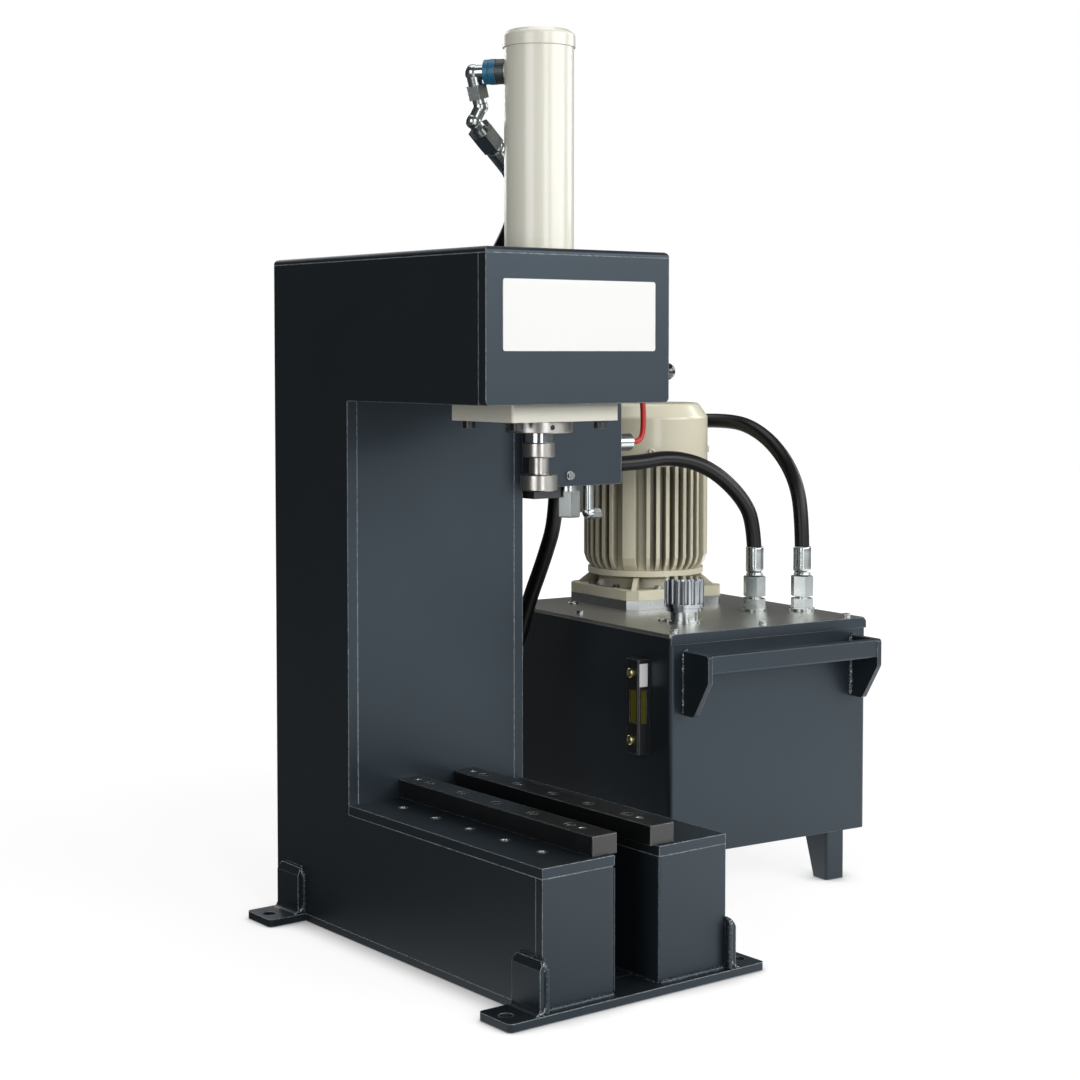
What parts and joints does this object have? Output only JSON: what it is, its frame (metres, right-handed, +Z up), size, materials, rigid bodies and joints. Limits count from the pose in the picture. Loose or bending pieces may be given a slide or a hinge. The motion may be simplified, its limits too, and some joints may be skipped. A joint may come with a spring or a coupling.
{
  "type": "hydraulic press",
  "caption": "C-frame bench hydraulic press with a vertical cylinder, slotted bed with two rails, hand lever valve and a motor-driven oil tank joined by hoses.",
  "frame": {"origin": "on the floor, in the middle of the four anchor bolt holes of the press's feet", "axes": "+X to the press's right, where the tank stands, -Y to its front, +Z up along the ram"},
  "size_m": [0.7034, 0.596, 0.942],
  "materials": {
    "frame_paint": "fine texture, satin",
    "tank_paint": "fine texture, satin",
    "machine_paint": "semi-gloss",
    "black_oxide": "black oxide, satin",
    "turned_steel": "turned",
    "hard_chrome": "polished",
    "zinc_plate": "zinc plated",
    "dark_cast": "satin black",
    "knob_plastic": "gloss",
    "dark_plastic": "satin",
    "blue_seal": "satin",
    "hose_rubber": "matt",
    "red_sheath": "semi-gloss",
    "brushed_lid": "brushed",
    "oil_window": "clear over yellow oil",
    "gauge_brass": "passivated",
    "cap_chrome": "bright",
    "cast_aluminium": "cast",
    "winding": "varnished",
    "strainer_mesh": "mesh"
  },
  "bodies": {
    "press": {"base_shells": "frame_paint", "base_top_plates": "frame_paint", "bed_rails": "black_oxide", "bell_housing": "cast_aluminium", "cable_grommet": "hose_rubber", "cap_screws": "black_oxide", "column_back_plate": "frame_paint", "column_front_plate": "frame_paint", "cylinder_barrel": "machine_paint", "cylinder_cap": "machine_paint", "cylinder_hose": "hose_rubber", "cylinder_plate": "machine_paint", "cylinder_seals": "blue_seal", "fan_cover": "machine_paint", "feet": "frame_paint", "filler_cap": "cap_chrome", "filler_neck": "zinc_plate", "gauge_bolts": "gauge_brass", "gauge_case": "dark_plastic", "gauge_glass": "oil_window", "gear_pump": "cast_aluminium", "gland_ring": "turned_steel", "head_floor_plate": "frame_paint", "head_front_plate": "frame_paint", "head_top_plate": "frame_paint", "hex_screws": "zinc_plate", "hose_ferrules": "zinc_plate", "motor_bearings": "turned_steel", "motor_flange": "machine_paint", "motor_housing": "machine_paint", "port_fittings": "zinc_plate", "pressure_switch": "zinc_plate", "return_hose": "hose_rubber", "side_plate_left": "frame_paint", "side_plate_right": "frame_paint", "stator": "winding", "steel_pipes": "zinc_plate", "suction_strainer": "strainer_mesh", "supply_hose": "hose_rubber", "switch_cable": "red_sheath", "swivel_nuts": "zinc_plate", "tank_handle": "tank_paint", "tank_legs": "tank_paint", "tank_lid": "brushed_lid", "tank_shell": "tank_paint", "terminal_box": "machine_paint", "valve_body": "dark_cast", "valve_guard": "frame_paint", "valve_plugs": "zinc_plate"},
    "ram": {"ram_rod": "hard_chrome", "piston": "turned_steel", "piston_rings": "dark_plastic", "tool_holder": "turned_steel", "press_pad": "turned_steel"},
    "rotor_set": {"rotor": "turned_steel", "cooling_fan": "dark_plastic", "shaft_coupling": "cast_aluminium"},
    "lever": {"hand_lever": "turned_steel", "lever_knob": "knob_plastic"},
    "spool": {"valve_spool": "turned_steel"}
  },
  "joints": [
    {"name": "ram_stroke", "type": "slide", "parent": "press", "child": "ram", "axis": [0, 0, -1], "range_m": [0, 0.25]},
    {"name": "rotor_spin", "type": "hinge", "parent": "press", "child": "rotor_set", "pos_m": [0.40326, 0.22976, 0.41], "axis": [0, 0, 1], "continuous": true},
    {"name": "lever_tilt", "type": "hinge", "parent": "press", "child": "lever", "pos_m": [0.198, 0.095, 0.6], "axis": [1, 0, 0], "range_deg": [-14, 14], "stiffness_Nm_per_rad": 6},
    {"name": "spool_shift", "type": "slide", "parent": "press", "child": "spool", "axis": [0, 0, 1], "range_m": [-0.0055, 0.0055]}
  ],
  "couplings": [
    {"joint": "spool_shift", "follows": "lever_tilt", "m_per_rad": 0.02}
  ]
}
